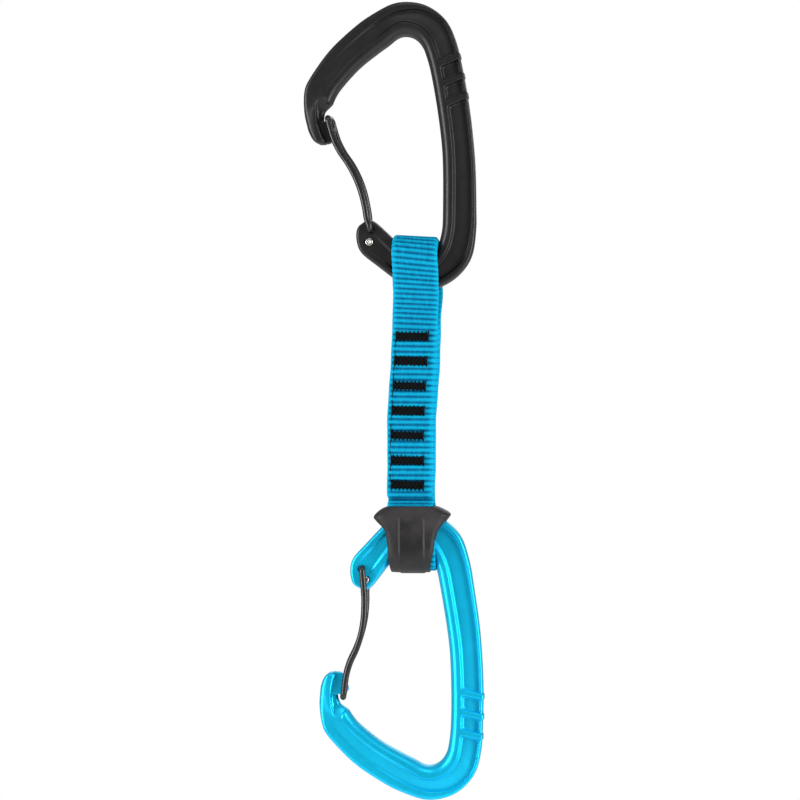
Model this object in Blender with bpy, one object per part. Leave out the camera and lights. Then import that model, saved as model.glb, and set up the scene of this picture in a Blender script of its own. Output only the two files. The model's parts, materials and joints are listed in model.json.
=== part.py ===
"""Climbing quickdraw: two wire-gate carabiners joined by a sewn webbing sling.

The frame is +Z up with its origin at the inner top of the upper carabiner's wide basket, where a
bolt hanger holds the quickdraw. The carabiners lie in the XZ plane and the webbing is 16 mm wide
along X. Sizes in the tables are millimetres and become metres in the meshes.
"""
import math

import bmesh
import bpy
import numpy as np
from mathutils import Matrix, Vector

MM = 0.001
GAP = 0.35                    # running gap between touching pieces

# Carabiner forging. Its own frame has x towards the spine, z up to the wide basket, and its origin
# at the wide basket's inner apex.
UPPER_TILT = math.radians(5.23)
LOWER_TILT = math.radians(4.17)
LOWER_ORIGIN = (9.2, -254.7)  # world x, z of the lower carabiner's wide basket apex

# Cross-lines of the forging from the nose tip round to the gate ear: inner x, z and outer x, z.
STATIONS = [
    (-30.9, -34.95, -33.0, -34.75),
    (-30.2, -33.6, -35.0, -33.2),
    (-30.6, -31.0, -36.4, -30.2),
    (-31.0, -28.0, -37.0, -27.0),
    (-31.1, -25.6, -37.35, -24.4),
    (-30.4, -23.7, -37.4, -22.2),
    (-28.9, -22.5, -37.35, -20.6),
    (-27.4, -21.2, -37.2, -18.8),
    (-26.3, -19.2, -36.8, -16.2),
    (-24.3, -16.4, -35.4, -12.8),
    (-17.0, -9.7, -26.6, -2.5),
    (-9.0, -4.5, -16.0, 5.6),
    (-5.9, -2.75, -10.4, 8.7),
    (-2.6, -0.5, -4.2, 11.4),
    (0.0, 0.0, 0.6, 12.0),
    (3.3, -1.1, 8.2, 10.2),
    (5.8, -4.1, 14.8, 4.3),
    (6.95, -8.0, 17.6, -3.5),
    (7.9, -13.5, 18.8, -11.8),
    (8.9, -25.0, 20.0, -25.0),
    (9.4, -38.0, 20.4, -38.0),
    (9.0, -48.0, 20.2, -49.0),
    (7.6, -63.0, 19.15, -63.2),
    (6.8, -68.6, 18.5, -69.6),
    (4.9, -73.8, 16.2, -78.9),
    (2.0, -77.4, 10.9, -85.1),
    (-1.0, -78.5, 4.0, -88.5),
    (-3.8, -77.3, -3.2, -89.3),
    (-6.4, -74.5, -9.7, -85.3),
    (-10.5, -69.8, -17.1, -78.55),
    (-13.9, -65.9, -22.2, -73.7),
    (-16.0, -63.65, -23.3, -69.6),
    (-17.6, -62.75, -22.95, -66.2),
    (-18.9, -62.7, -22.0, -64.5),
]
EAR_HALF = 3.75               # half thickness of the flat ear that holds the gate
# How the section changes along the stations: (station, millimetres) knots.
BEAD_HALF = [(0, 4.2), (6, 4.3), (10, 4.6), (13, 5.0), (16, 4.9), (18, 4.3), (28, 4.3), (30, EAR_HALF)]
RIM_HALF = [(0, 4.0), (10, 4.2), (14, 4.0), (17, 3.6), (23, 3.6), (28, 3.8), (30, EAR_HALF)]
POCKET_DEPTH = [(10, 0.0), (12, 1.0), (14, 1.4), (23, 1.4), (27, 1.2), (29, 0.3), (30, 0.0)]
BEAD_WIDTH = [(0, 3.0), (10, 3.2), (14, 4.6), (17, 3.6), (29, 3.3)]
RIM_WIDTH = [(10, 3.2), (14, 3.0), (16, 1.6), (18, 1.2), (23, 1.4), (25, 2.2)]
BEAD_ROUND = [(0, 2.0), (10, 2.6), (14, 3.6), (18, 2.8), (28, 2.6), (30, 0.9)]
RIM_ROUND = [(0, 1.6), (14, 1.5), (18, 1.1), (26, 1.3), (30, 0.9)]
POCKET_WALL = 1.2
STRAIGHT_STATIONS = (9, 10, 18, 19, 20, 21, 22)   # nearly straight runs that need no extra ring
END_ROUND = (0.0, 0.18)       # rings that round off the two ends, in stations from each end
END_SCALE = 0.5               # how thin the last ring is

RIB_ANGLE = math.radians(18.0)
RIB_FIRST = (14.8, -10.0)
RIB_STEP = (0.7, -6.93)
RIB_COUNT = 3
RIB_SIZE = (8.2, 2.0)         # length across the spine, and thickness
RIB_HALF = 3.95

NOSE_WEB_HALF = 2.2           # the hook's thin web, which the wire loop straddles
NOSE_LIP = [
    (-32.0, -26.9), (-30.0, -27.0), (-28.1, -27.3), (-27.3, -27.7), (-27.05, -28.4), (-27.2, -29.6),
    (-27.7, -31.6), (-28.4, -33.6), (-29.4, -34.8), (-30.8, -35.05), (-32.0, -34.3),
]
NOSE_RECESS = [
    (-32.5, -22.5), (-31.5, -20.8), (-30.0, -20.6), (-28.6, -21.4), (-26.0, -24.0), (-24.0, -30.0),
    (-26.0, -37.0), (-29.5, -36.5), (-30.1, -33.8), (-31.2, -32.0), (-32.0, -29.5), (-32.5, -26.5),
]

# Wire gate: each leg's pin sits in its own hole of the ear, and the gate turns about the midpoint.
WIRE_RADIUS = 1.1
FRONT_PIN = (-18.1, -66.3)
REAR_PIN = (-18.75, -70.5)
GATE_OPEN = math.radians(28.0)
HOLE_CLEARANCE = 0.13
PIN_END = 3.55                # how far each pin reaches past the middle plane
LEG_OUT = 5.3                 # leg's distance from the middle plane beside the ear
LOOP_OUT = 3.7                # and at the nose
PIN_BEND = 1.3
LOOP_BEND = 1.5
CROSSBAR = (-29.0, -25.9)
LEG_PATH = [(-18.75, -62.0), (-18.95, -58.5), (-19.7, -53.0), (-21.1, -47.7), (-23.2, -42.6),
            (-25.6, -38.3), (-27.2, -34.4), (-28.1, -30.9), (-28.75, -27.4)]

# Sling webbing
WEB_WIDTH = 16.0
PLY = 1.5
LEAN_TOP = (-100.0, 3.8)      # world z and x of the sling's centre at the upper and lower necks
LEAN_BOTTOM = (-162.0, 2.5)
UPPER_FLEX_Z = -100.9
TWIST_Z = -135.6
LOWER_FLEX = (0.75, -162.9)   # y, z of the lower neck, which has one ply less
SECTION_HALF = 1.5 * PLY
UPPER_PIVOT_Z = -76.4
UPPER_LOOP_HALF = 6.9
LOWER_LOOP_HALF = 4.8
LOWER_LOOP_TURN_Z = -180.55
TAIL_CUT = 1.5                # how much shorter the front ply is at the lower neck

# Bar tacks
TACK_COUNT = 7
TACK_TOP_Z = -104.85
TACK_PITCH = 8.663
TACK_SIZE = (11.3, 3.3)
TACK_CORE = (9.6, 1.5)
TACK_THICK = 0.45
TACK_OFFSET = -0.9            # towards the gate side of the webbing's centre

# Rubber keeper
KEEPER_CENTRE = 2.55
KEEPER_HALF_LENGTH = 13.75
KEEPER_HALF_DEPTH = 8.2
KEEPER_FULLNESS = 5.0
KEEPER_TOP = -164.15
KEEPER_BOTTOM = -188.2
KEEPER_FRONT = [
    (-6.2, KEEPER_TOP), (11.2, KEEPER_TOP), (13.4, -165.2), (16.2, -167.0), (14.6, -169.3),
    (12.7, -171.4), (11.3, -174.5), (10.95, -178.0), (9.8, -183.2), (8.6, -186.6),
    (7.2, KEEPER_BOTTOM), (-3.0, KEEPER_BOTTOM), (-4.6, -186.0), (-5.3, -182.5), (-5.8, -177.6),
    (-6.6, -172.0), (-7.5, -171.4), (-9.4, -169.8), (-11.1, -168.1), (-8.4, -165.4),
]


def clear_scene():
    for item in list(bpy.data.objects):
        bpy.data.objects.remove(item, do_unlink=True)


def make_collection(name):
    collection = bpy.data.collections.new(name)
    bpy.context.scene.collection.children.link(collection)
    return collection


def make_material(name, colour, roughness, metallic):
    material = bpy.data.materials.new(name)
    material.use_nodes = True
    shader = material.node_tree.nodes["Principled BSDF"]
    shader.inputs["Base Color"].default_value = (*colour, 1.0)
    shader.inputs["Roughness"].default_value = roughness
    shader.inputs["Metallic"].default_value = metallic
    return material


def make_object(name, mesh, collection, material=None):
    item = bpy.data.objects.new(name, mesh)
    if material is not None:
        mesh.materials.append(material)
    collection.objects.link(item)
    return item


def shade(item, angle=35.0):
    item.data.shade_smooth()
    item.data.set_sharp_from_angle(angle=math.radians(angle))


def knots(table, place):
    """Value of a (station, value) table at a place along the forging."""
    stations, values = zip(*table)
    return float(np.interp(place, stations, values))


def mix(start, end, share):
    return start + (end - start) * share


def catmull_rom(points, place):
    """Point on the smooth curve through points, at a fractional index."""
    last = len(points) - 1
    index = min(int(place), last - 1)
    t = place - index
    p1, p2 = points[index], points[index + 1]
    p0 = points[index - 1] if index > 0 else 2.0 * p1 - p2
    p3 = points[index + 2] if index + 2 <= last else 2.0 * p2 - p1
    return 0.5 * (2.0 * p1 + (p2 - p0) * t + (2.0 * p0 - 5.0 * p1 + 4.0 * p2 - p3) * t * t
                  + (3.0 * p1 - p0 - 3.0 * p2 + p3) * t ** 3)


def smooth_path(points, steps):
    """A path with extra points on the smooth curve between its own."""
    control = [np.array(point, dtype=float) for point in points]
    places = np.linspace(0.0, len(control) - 1, (len(control) - 1) * steps + 1)
    return [catmull_rom(control, place) for place in places]


def station_places():
    """Where along the stations the forging's rings lie."""
    last = len(STATIONS) - 1
    places = [float(index) for index in range(1, last)]
    places += [index + 0.5 for index in range(1, last - 1) if index not in STRAIGHT_STATIONS]
    for step in END_ROUND:
        places += [step, last - step]
    return sorted(places)


def forging_ring(place, inflate):
    """One closed section of the forging, as (x, y, z) points in the carabiner's frame."""
    table = [np.array(row, dtype=float) for row in STATIONS]
    row = catmull_rom(table, place)
    inner, outer = row[:2], row[2:]
    across = (outer - inner) / np.linalg.norm(outer - inner)
    inner = inner - across * inflate
    width = float(np.linalg.norm(outer + across * inflate - inner))
    last = len(STATIONS) - 1
    from_end = min(place, last - place)
    thin = END_SCALE if from_end < 0.01 else (0.88 if from_end < END_ROUND[1] + 0.01 else 1.0)
    bead = knots(BEAD_HALF, place) * thin + inflate
    rim = knots(RIM_HALF, place) * thin + inflate
    depth = knots(POCKET_DEPTH, place) if inflate == 0.0 else 0.0
    floor = bead - depth if depth > 0.0 else 0.5 * (bead + rim)
    bead_round = min(knots(BEAD_ROUND, place), 0.35 * width)
    rim_round = min(knots(RIM_ROUND, place), 0.2 * width)
    bead_width = min(max(knots(BEAD_WIDTH, place), bead_round + 0.2), 0.42 * width)
    rim_width = min(max(knots(RIM_WIDTH, place), rim_round + 0.1), 0.3 * width)
    wall = min(POCKET_WALL, 0.4 * (width - bead_width - rim_width))
    profile = [
        (0.0, 0.3 * bead),
        (0.13 * bead_round, 0.55 * bead),
        (0.45 * bead_round, 0.86 * bead),
        (bead_round, bead),
        (bead_width, bead),
        (bead_width + wall, floor),
        (width - rim_width - wall, floor),
        (width - rim_width, rim),
        (width - rim_round, rim),
        (width - 0.3 * rim_round, rim - 0.3 * rim_round),
        (width, rim - rim_round),
    ]
    ring = []
    for side in (-1.0, 1.0):
        points = profile if side < 0 else reversed(profile)
        for distance, height in points:
            x, z = inner + across * distance
            ring.append((x, side * height, z))
    return ring


def loft(name, rings, collection):
    """Closed body through rings of equal count, with both ends closed by strips across y."""
    bm = bmesh.new()
    levels = [[bm.verts.new(Vector(point) * MM) for point in ring] for ring in rings]
    count = len(levels[0])
    for below, above in zip(levels, levels[1:]):
        for i in range(count):
            j = (i + 1) % count
            bm.faces.new((below[i], below[j], above[j], above[i]))
    half = count // 2
    for level in (levels[0], levels[-1]):
        for i in range(half - 1):
            bm.faces.new((level[i], level[i + 1], level[count - 2 - i], level[count - 1 - i]))
    bmesh.ops.recalc_face_normals(bm, faces=bm.faces)
    mesh = bpy.data.meshes.new(name)
    bm.to_mesh(mesh)
    bm.free()
    return make_object(name, mesh, collection)


def plate(name, outlines, half, plane, collection, centre=0.0):
    """Flat outlines filled and extruded by half to both sides; plane is 'xz', 'yz' or 'xy'."""
    curve = bpy.data.curves.new(name, "CURVE")
    curve.dimensions = "2D"
    curve.fill_mode = "BOTH"
    curve.extrude = half * MM
    for outline in outlines:
        spline = curve.splines.new("POLY")
        spline.points.add(len(outline) - 1)
        for point, (u, v) in zip(spline.points, outline):
            point.co = (u * MM, v * MM, 0.0, 1.0)
        spline.use_cyclic_u = True
    turns = {
        "xz": Matrix(((1, 0, 0, 0), (0, 0, -1, 0), (0, 1, 0, 0), (0, 0, 0, 1))),
        "yz": Matrix(((0, 0, 1, 0), (1, 0, 0, 0), (0, 1, 0, 0), (0, 0, 0, 1))),
        "xy": Matrix.Identity(4),
    }
    shifts = {"xz": (0, centre, 0), "yz": (centre, 0, 0), "xy": (0, 0, centre)}
    guide = bpy.data.objects.new(name, curve)
    collection.objects.link(guide)
    guide.matrix_world = Matrix.Translation(Vector(shifts[plane]) * MM) @ turns[plane]
    return curve_to_mesh(guide, collection)


def curve_to_mesh(guide, collection):
    """Swap a curve object for a welded mesh object of the same name and place."""
    bpy.context.view_layer.update()
    graph = bpy.context.evaluated_depsgraph_get()
    mesh = bpy.data.meshes.new_from_object(guide.evaluated_get(graph))
    name = guide.name
    placing = guide.matrix_world.copy()
    bpy.data.objects.remove(guide, do_unlink=True)
    mesh.name = name
    mesh.materials.clear()
    bm = bmesh.new()
    bm.from_mesh(mesh)
    bmesh.ops.remove_doubles(bm, verts=bm.verts, dist=0.00002)
    bmesh.ops.transform(bm, matrix=placing, verts=bm.verts)
    bmesh.ops.recalc_face_normals(bm, faces=bm.faces)
    bm.to_mesh(mesh)
    bm.free()
    return make_object(name, mesh, collection)


def box(name, size, collection, placing):
    """A cuboid primitive of full sizes in millimetres, placed by a matrix in metres."""
    bm = bmesh.new()
    bmesh.ops.create_cube(bm, size=1.0)
    bmesh.ops.scale(bm, vec=Vector(size) * MM, verts=bm.verts)
    bmesh.ops.transform(bm, matrix=placing, verts=bm.verts)
    mesh = bpy.data.meshes.new(name)
    bm.to_mesh(mesh)
    bm.free()
    return make_object(name, mesh, collection)


def drill(name, place, radius, collection):
    """A cylinder primitive along Y through the ear."""
    bm = bmesh.new()
    bmesh.ops.create_cone(bm, cap_ends=True, segments=28, radius1=radius * MM, radius2=radius * MM,
                          depth=14.0 * MM)
    placing = Matrix.Translation((place[0] * MM, 0.0, place[1] * MM))
    bmesh.ops.transform(bm, matrix=placing @ Matrix.Rotation(math.pi / 2.0, 4, "X"), verts=bm.verts)
    mesh = bpy.data.meshes.new(name)
    bm.to_mesh(mesh)
    bm.free()
    return make_object(name, mesh, collection)


def hide_cutter(item, cutters):
    for collection in list(item.users_collection):
        collection.objects.unlink(item)
    cutters.objects.link(item)
    item.hide_render = True
    item.display_type = "WIRE"


def boolean(item, tool, operation, cutters):
    """Add an exact Boolean with a tool that is kept in the cutters' collection."""
    hide_cutter(tool, cutters)
    modifier = item.modifiers.new(tool.name, "BOOLEAN")
    modifier.operation = operation
    modifier.solver = "EXACT"
    modifier.object = tool


def gate_axis():
    return tuple(0.5 * (a + b) for a, b in zip(FRONT_PIN, REAR_PIN))


def hole_place(pin):
    """Hole centre and radius that let a pin swing with the gate from shut to open."""
    axis = np.array(gate_axis())
    start = np.array(pin) - axis
    c, s = math.cos(GATE_OPEN), math.sin(GATE_OPEN)
    end = np.array((start[0] * c + start[1] * s, -start[0] * s + start[1] * c))
    centre = axis + 0.5 * (start + end)
    radius = WIRE_RADIUS + 0.5 * float(np.linalg.norm(end - start)) + HOLE_CLEARANCE
    return tuple(centre), radius


def carabiner_placing(upper):
    """World matrix of a carabiner's own frame, in metres."""
    if upper:
        return Matrix.Rotation(-UPPER_TILT, 4, "Y")
    turn = Matrix.Rotation(-LOWER_TILT, 4, "Y") @ Matrix.Rotation(math.pi, 4, "X")
    return Matrix.Translation((LOWER_ORIGIN[0] * MM, 0.0, LOWER_ORIGIN[1] * MM)) @ turn


def build_forging(prefix, upper, material, parts, cutters):
    """The forged body: lofted bar, ribs across the spine, hook recess and ear holes."""
    rings = [forging_ring(place, 0.0) for place in station_places()]
    body = loft(prefix + "_body", rings, parts)
    body.data.materials.append(material)
    placing = carabiner_placing(upper)
    body.matrix_world = placing
    for index in range(RIB_COUNT):
        x = RIB_FIRST[0] + index * RIB_STEP[0]
        z = RIB_FIRST[1] + index * RIB_STEP[1]
        spot = Matrix.Translation((x * MM, 0.0, z * MM)) @ Matrix.Rotation(-RIB_ANGLE, 4, "Y")
        size = (RIB_SIZE[0], 2.0 * RIB_HALF, RIB_SIZE[1])
        rib = box(f"{prefix}_rib_{index + 1}", size, cutters, placing @ spot)
        boolean(body, rib, "UNION", cutters)
    lip = plate(prefix + "_lip", [NOSE_LIP], NOSE_WEB_HALF + 0.8, "xz", cutters)
    lip.matrix_world = placing
    boolean(body, lip, "UNION", cutters)
    for side in (-1.0, 1.0):
        middle = side * (NOSE_WEB_HALF + 3.0)
        recess = plate(f"{prefix}_recess_{'front' if side < 0 else 'rear'}", [NOSE_RECESS], 3.0,
                       "xz", cutters, middle)
        recess.matrix_world = placing
        boolean(body, recess, "DIFFERENCE", cutters)
    for label, pin in (("front", FRONT_PIN), ("rear", REAR_PIN)):
        place, radius = hole_place(pin)
        hole = drill(f"{prefix}_{label}_hole", place, radius, cutters)
        hole.matrix_world = placing
        boolean(body, hole, "DIFFERENCE", cutters)
    return body


def leg_points(side, pin):
    """Wire centreline of one leg, from its pin's end to the start of the crossbar."""
    x, z = pin
    points = [(x, -side * PIN_END, z), (x, 0.0, z), (x, side * (LEG_OUT - PIN_BEND), z)]
    for step in (1, 2, 3):
        angle = step * math.pi / 6.0
        points.append((x, side * (LEG_OUT - PIN_BEND + PIN_BEND * math.sin(angle)),
                       z + PIN_BEND * (1.0 - math.cos(angle))))
    path = smooth_path([(x, z + PIN_BEND)] + [row for row in LEG_PATH if row[1] > z + 3.0], 3)
    low, high = path[0][1], path[-1][1]
    for place in path[1:]:
        share = (place[1] - low) / (high - low)
        points.append((place[0], side * mix(LEG_OUT, LOOP_OUT, share), place[1]))
    top_x, top_z = CROSSBAR
    for step in (1, 2, 3):
        angle = step * math.pi / 6.0
        along = math.sin(angle)
        points.append((mix(points[-1][0], top_x, along),
                       side * (LOOP_OUT - LOOP_BEND * (1.0 - math.cos(angle))),
                       top_z - LOOP_BEND * (1.0 - along)))
    return points


def build_gate(name, upper, material, parts):
    """One bent wire: a pin in each ear hole, two legs and the loop that meets the nose."""
    front = leg_points(-1.0, FRONT_PIN)
    rear = leg_points(1.0, REAR_PIN)
    curve = bpy.data.curves.new(name, "CURVE")
    curve.dimensions = "3D"
    curve.bevel_depth = WIRE_RADIUS * MM
    curve.bevel_resolution = 3
    curve.use_fill_caps = True
    spline = curve.splines.new("POLY")
    path = front + rear[::-1]
    spline.points.add(len(path) - 1)
    axis = gate_axis()
    for point, (x, y, z) in zip(spline.points, path):
        point.co = ((x - axis[0]) * MM, y * MM, (z - axis[1]) * MM, 1.0)
    guide = bpy.data.objects.new(name, curve)
    parts.objects.link(guide)
    gate = curve_to_mesh(guide, parts)
    gate.data.materials.append(material)
    pivot = Matrix.Translation((axis[0] * MM, 0.0, axis[1] * MM))
    gate.matrix_world = carabiner_placing(upper) @ pivot
    shade(gate)
    return gate


def arc(centre, radius, start, end, steps):
    """Points on an arc in degrees, both ends included."""
    angles = np.radians(np.linspace(start, end, steps + 1))
    return [(centre[0] + radius * math.cos(a), centre[1] + radius * math.sin(a)) for a in angles]


def mirrored(side):
    """A closed outline from its y > 0 side, listed top to bottom."""
    return side + [(-y, z) for y, z in reversed(side) if abs(y) > 1e-6]


def lean(item):
    """Shift the sling sideways with height, so that it leans as it hangs."""
    slope = (LEAN_TOP[1] - LEAN_BOTTOM[1]) / (LEAN_TOP[0] - LEAN_BOTTOM[0])
    for vertex in item.data.vertices:
        z = vertex.co.z / MM
        z = min(max(z, LEAN_BOTTOM[0]), LEAN_TOP[0])
        vertex.co.x += (LEAN_BOTTOM[1] + slope * (z - LEAN_BOTTOM[0])) * MM


def centred(item, place):
    """Move an object's origin to a world point without moving its shape."""
    shift = Matrix.Translation(Vector(place) * MM)
    item.data.transform(shift.inverted())
    item.matrix_world = shift @ item.matrix_world


def build_upper_loop(material, parts):
    """The sling's top loop round the upper carabiner's narrow basket."""
    outer_half = UPPER_LOOP_HALF + PLY
    inner = arc((0.0, UPPER_PIVOT_Z), UPPER_LOOP_HALF, 90.0, 0.0, 7)
    inner += [(7.1, -82.0), (7.1, -87.5), (5.5, -91.0), (2.6, -95.0), (0.15, -97.5)]
    outer = arc((0.0, UPPER_PIVOT_Z), outer_half, 90.0, 0.0, 7)
    outer += [(8.6, -82.0), (8.6, -88.0), (6.9, -91.8), (4.1, -95.8), (2.4, -97.6), (2.25, -98.3)]
    loop = plate("webbing_upper_loop", [mirrored(outer), mirrored(inner)], 0.5 * WEB_WIDTH, "yz",
                 parts)
    lean(loop)
    loop.data.materials.append(material)
    centred(loop, (0.0, 0.0, UPPER_PIVOT_Z))
    return loop


def tack_z(index):
    return TACK_TOP_Z - index * TACK_PITCH


def build_stitched(name, outline, tacks, origin, material, parts, cutters):
    """One half of the sewn part of the sling, with a slot for each bar tack's threads."""
    item = plate(name, [outline], 0.5 * WEB_WIDTH, "yz", parts)
    lean(item)
    item.data.materials.append(material)
    for index in tacks:
        size = (TACK_CORE[0] + 2.0 * GAP, 12.0, TACK_CORE[1] + 2.0 * GAP)
        spot = Matrix.Translation((TACK_OFFSET * MM, 0.0, tack_z(index) * MM))
        slot = box(f"tack_slot_{index + 1}", size, cutters, spot)
        lean(slot)
        boolean(item, slot, "DIFFERENCE", cutters)
    centred(item, origin)
    return item


def build_tack(index, material, parts, cutters):
    """A bar tack: dense thread pads on both faces joined by the threads through the webbing."""
    z = tack_z(index)
    spot = Matrix.Translation((TACK_OFFSET * MM, 0.0, z * MM))
    core_depth = 2.0 * (SECTION_HALF + GAP + 0.5 * TACK_THICK)
    tack = box(f"bar_tack_{index + 1}", (TACK_CORE[0], core_depth, TACK_CORE[1]), parts, spot)
    lean(tack)
    for side in (-1.0, 1.0):
        away = side * (SECTION_HALF + GAP + 0.5 * TACK_THICK)
        pad_spot = Matrix.Translation((TACK_OFFSET * MM, away * MM, z * MM))
        label = "front" if side < 0 else "rear"
        size = (TACK_SIZE[0], TACK_THICK, TACK_SIZE[1])
        pad = box(f"tack_pad_{label}_{index + 1}", size, cutters, pad_spot)
        lean(pad)
        boolean(tack, pad, "UNION", cutters)
    tack.data.materials.append(material)
    return tack


def lower_loop_outlines(grow):
    """Outer and inner outlines of the lower loop, the outer one grown by a gap."""
    y0, z0 = LOWER_FLEX
    half = LOWER_LOOP_HALF + PLY + grow
    outer = arc((y0, z0), PLY + grow, 180.0, 0.0, 8)
    outer += [(4.6 + grow, -164.3 + grow), (5.8 + grow, -165.6), (half, -168.0)]
    outer += arc((0.0, LOWER_LOOP_TURN_Z), half, 0.0, -180.0, 14)
    outer += [(-half, -168.0), (-5.8 - grow, -165.6), (-4.6 - grow, -164.3 + grow)]
    outer += [(-1.9 - grow, -163.5 + grow)]
    inner = [(0.3, -164.3), (2.6, -164.9), (4.2, -166.0), (LOWER_LOOP_HALF, -168.0)]
    inner += arc((0.0, LOWER_LOOP_TURN_Z), LOWER_LOOP_HALF, 0.0, -180.0, 14)
    inner += [(-LOWER_LOOP_HALF, -168.0), (-4.2, -166.0), (-2.6, -164.9)]
    return outer, inner


def build_lower_loop(material, parts):
    """The sling's bottom loop round the lower carabiner's narrow basket, inside the keeper."""
    outer, inner = lower_loop_outlines(0.0)
    loop = plate("webbing_lower_loop", [outer, inner], 0.5 * WEB_WIDTH, "yz", parts)
    lean(loop)
    loop.data.materials.append(material)
    centred(loop, (0.0, LOWER_FLEX[0], LOWER_FLEX[1]))
    return loop


def keeper_plan():
    """Boat-shaped outline of the keeper seen from above."""
    shares = np.sin(np.linspace(-0.5 * math.pi, 0.5 * math.pi, 15))
    side = [(KEEPER_CENTRE + KEEPER_HALF_LENGTH * share,
             -KEEPER_HALF_DEPTH * (1.0 - abs(share) ** KEEPER_FULLNESS)) for share in shares]
    return side + [(x, -y) for x, y in reversed(side[1:-1])]


def keeper_side():
    """Side outline of the keeper: flat top, upright sides and a round bottom."""
    depth = KEEPER_HALF_DEPTH
    turn = KEEPER_BOTTOM + depth
    return ([(0.85 * depth, KEEPER_TOP), (0.97 * depth, -165.6), (depth, -168.0)]
            + arc((0.0, turn), depth, 0.0, -180.0, 14)
            + [(-depth, -168.0), (-0.97 * depth, -165.6), (-0.85 * depth, KEEPER_TOP)])


def build_keeper(material, parts, cutters):
    """Rubber sleeve that grips the lower carabiner's bar inside the lower loop."""
    keeper = plate("rubber_keeper", [KEEPER_FRONT], 12.0, "xz", parts)
    keeper.data.materials.append(material)
    plan = plate("keeper_plan", [keeper_plan()], 16.0, "xy", cutters, 0.5 * (KEEPER_TOP + KEEPER_BOTTOM))
    boolean(keeper, plan, "INTERSECT", cutters)
    side = plate("keeper_side", [keeper_side()], 20.0, "yz", cutters)
    boolean(keeper, side, "INTERSECT", cutters)
    outer, _ = lower_loop_outlines(GAP)
    channel = plate("keeper_channel", [outer], 0.5 * WEB_WIDTH + GAP, "yz", cutters)
    lean(channel)
    boolean(keeper, channel, "DIFFERENCE", cutters)
    places = [place for place in station_places() if 20.0 <= place <= 31.0]
    bar = loft("keeper_bar_room", [forging_ring(place, GAP) for place in places], cutters)
    bar.matrix_world = carabiner_placing(False)
    boolean(keeper, bar, "DIFFERENCE", cutters)
    return keeper


def main():
    clear_scene()
    parts = make_collection("climbing_quickdraw")
    cutters = make_collection("cutters")
    black = make_material("black_anodised", (0.018, 0.017, 0.018), 0.38, 0.9)
    blue = make_material("blue_anodised", (0.0, 0.36, 0.60), 0.30, 0.9)
    steel = make_material("gate_wire_steel", (0.16, 0.155, 0.15), 0.30, 1.0)
    nylon = make_material("blue_nylon", (0.0, 0.30, 0.55), 0.75, 0.0)
    thread = make_material("black_thread", (0.012, 0.012, 0.014), 0.8, 0.0)
    rubber = make_material("black_rubber", (0.035, 0.035, 0.037), 0.7, 0.0)

    build_forging("upper_carabiner", True, black, parts, cutters)
    build_gate("upper_gate_wire", True, steel, parts)
    build_forging("lower_carabiner", False, blue, parts, cutters)
    build_gate("lower_gate_wire", False, steel, parts)

    build_upper_loop(nylon, parts)
    half = SECTION_HALF
    top = arc((0.0, UPPER_FLEX_Z), half, 0.0, 180.0, 8)
    split = TWIST_Z + 0.5 * GAP
    build_stitched("webbing_stitched_upper", top + [(-half, split), (half, split)], range(0, 4),
                   (0.0, 0.0, UPPER_FLEX_Z), nylon, parts, cutters)
    split = TWIST_Z - 0.5 * GAP
    low = LOWER_FLEX[1] + PLY + GAP
    outline = [(-half, split), (-half, low + TAIL_CUT), (-0.5 * PLY, low), (half, low), (half, split)]
    build_stitched("webbing_stitched_lower", outline, range(4, TACK_COUNT), (0.0, 0.0, TWIST_Z),
                   nylon, parts, cutters)
    build_lower_loop(nylon, parts)
    for index in range(TACK_COUNT):
        build_tack(index, thread, parts, cutters)
    build_keeper(rubber, parts, cutters)


main()
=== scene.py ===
"""Looks of the climbing quickdraw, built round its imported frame.

The two forged carabiners, their wire gates, the webbing, its bar tacks and the rubber keeper are
made here as fine meshes that stand for the plain CAD nodes. Lengths are in millimetres in each
piece's own tables and become metres in the meshes.
"""
import json
import math

import bpy
import numpy as np
from mathutils import Matrix, Vector


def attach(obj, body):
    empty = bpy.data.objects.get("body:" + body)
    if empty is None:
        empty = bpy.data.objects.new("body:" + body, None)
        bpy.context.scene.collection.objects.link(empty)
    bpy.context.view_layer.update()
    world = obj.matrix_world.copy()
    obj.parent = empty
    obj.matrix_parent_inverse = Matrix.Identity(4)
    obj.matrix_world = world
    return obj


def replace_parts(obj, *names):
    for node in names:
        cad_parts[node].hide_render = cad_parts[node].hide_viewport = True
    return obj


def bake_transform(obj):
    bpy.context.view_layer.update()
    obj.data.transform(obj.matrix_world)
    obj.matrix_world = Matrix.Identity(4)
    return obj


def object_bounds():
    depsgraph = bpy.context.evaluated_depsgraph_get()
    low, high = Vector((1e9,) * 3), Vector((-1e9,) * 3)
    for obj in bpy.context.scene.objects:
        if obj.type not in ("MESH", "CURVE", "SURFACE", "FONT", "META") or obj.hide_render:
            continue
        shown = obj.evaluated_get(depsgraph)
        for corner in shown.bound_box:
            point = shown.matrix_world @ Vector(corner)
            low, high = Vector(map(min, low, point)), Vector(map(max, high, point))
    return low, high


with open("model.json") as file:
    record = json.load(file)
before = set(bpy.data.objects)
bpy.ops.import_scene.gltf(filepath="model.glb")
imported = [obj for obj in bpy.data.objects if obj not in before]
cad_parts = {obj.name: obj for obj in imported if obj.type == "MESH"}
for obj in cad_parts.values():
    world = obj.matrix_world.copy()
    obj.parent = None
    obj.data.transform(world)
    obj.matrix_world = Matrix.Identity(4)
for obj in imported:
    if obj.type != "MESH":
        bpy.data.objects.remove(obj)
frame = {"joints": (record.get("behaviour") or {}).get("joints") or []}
CAD_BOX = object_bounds()

MM = 0.001

# Carabiner forging, in its own frame: x towards the spine, z up to the wide basket, and the
# origin at the wide basket's inner apex.
UPPER_TILT = math.radians(5.23)
LOWER_TILT = math.radians(4.17)
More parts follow.
